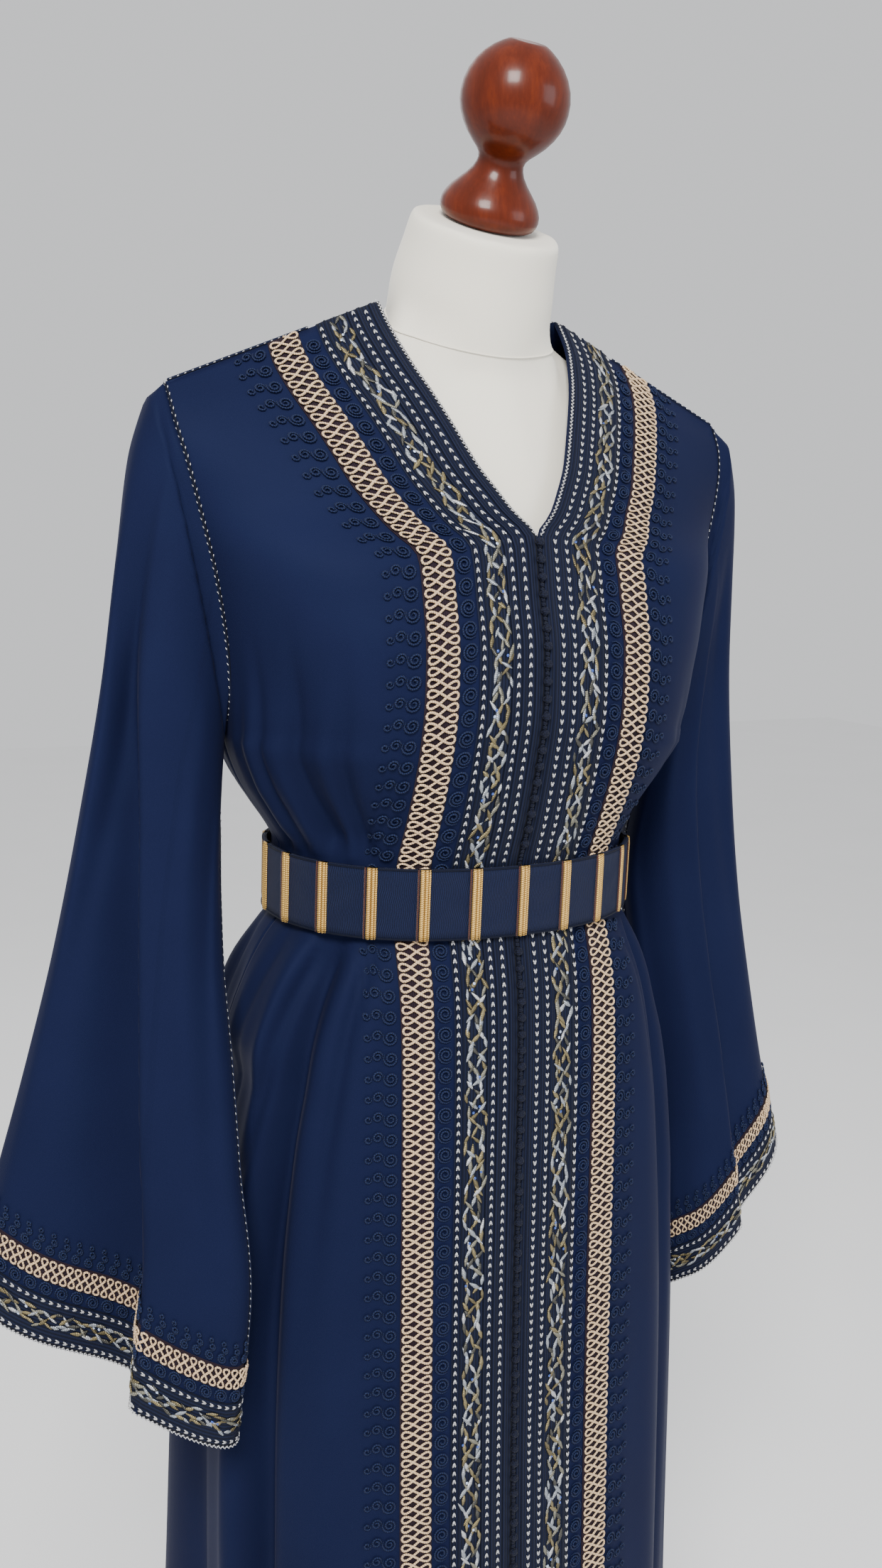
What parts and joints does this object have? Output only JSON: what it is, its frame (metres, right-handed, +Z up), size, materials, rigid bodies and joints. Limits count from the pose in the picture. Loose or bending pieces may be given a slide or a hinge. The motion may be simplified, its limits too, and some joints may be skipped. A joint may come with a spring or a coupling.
{
  "type": "kaftan on a dress form",
  "caption": "Floor-length kaftan with wide sleeves, braided front trimming and a cloth belt, worn by a limbless dress form on a pole stand.",
  "frame": {"origin": "middle of the stand's base disc, at the floor", "axes": "+Z up along the pole, the garment's front faces -Y, the wearer's left is +X"},
  "size_m": [0.7416, 0.3454, 1.6335],
  "materials": {
    "navy_cloth": "satin crepe, dark navy",
    "navy_braid": "matt ribbed braid, dark navy",
    "cream_braid": "looped cord, warm cream",
    "belt_gold": "metallic thread, gold",
    "knot_thread": "matt knotted thread, near black",
    "form_cover": "plain woven cover, off-white",
    "turned_wood": "gloss lacquer, reddish brown",
    "stand_metal": "satin"
  },
  "bodies": {
    "root": {"front_right": "navy_cloth", "front_left": "navy_cloth", "back": "navy_cloth", "neckband": "navy_braid", "placket_right": "navy_braid", "placket_left": "navy_braid", "cream_braid_right": "cream_braid", "cream_braid_left": "cream_braid", "sleeve_right": "navy_cloth", "sleeve_left": "navy_cloth", "cuff_band_right": "navy_braid", "cuff_band_left": "navy_braid", "cuff_braid_right": "cream_braid", "cuff_braid_left": "cream_braid", "belt": "navy_braid", "belt_bar_01": "belt_gold", "belt_bar_02": "belt_gold", "belt_bar_03": "belt_gold", "belt_bar_04": "belt_gold", "belt_bar_05": "belt_gold", "belt_bar_06": "belt_gold", "belt_bar_07": "belt_gold", "belt_bar_08": "belt_gold", "belt_bar_09": "belt_gold", "belt_bar_10": "belt_gold", "belt_bar_11": "belt_gold", "belt_bar_12": "belt_gold", "belt_bar_13": "belt_gold", "belt_bar_14": "belt_gold", "belt_bar_15": "belt_gold", "belt_bar_16": "belt_gold", "belt_bar_17": "belt_gold", "belt_bar_18": "belt_gold", "belt_bar_19": "belt_gold", "belt_bar_20": "belt_gold", "belt_bar_21": "belt_gold", "belt_bar_22": "belt_gold", "button_01": "knot_thread", "button_02": "knot_thread", "button_03": "knot_thread", "button_04": "knot_thread", "button_05": "knot_thread", "button_06": "knot_thread", "button_07": "knot_thread", "button_08": "knot_thread", "button_09": "knot_thread", "button_10": "knot_thread", "button_11": "knot_thread", "button_12": "knot_thread", "button_13": "knot_thread", "button_14": "knot_thread", "button_15": "knot_thread", "button_16": "knot_thread", "button_17": "knot_thread", "button_18": "knot_thread", "form_body": "form_cover", "neck_knob": "turned_wood", "stand_base": "stand_metal", "stand_pole": "stand_metal"}
  },
  "joints": []
}
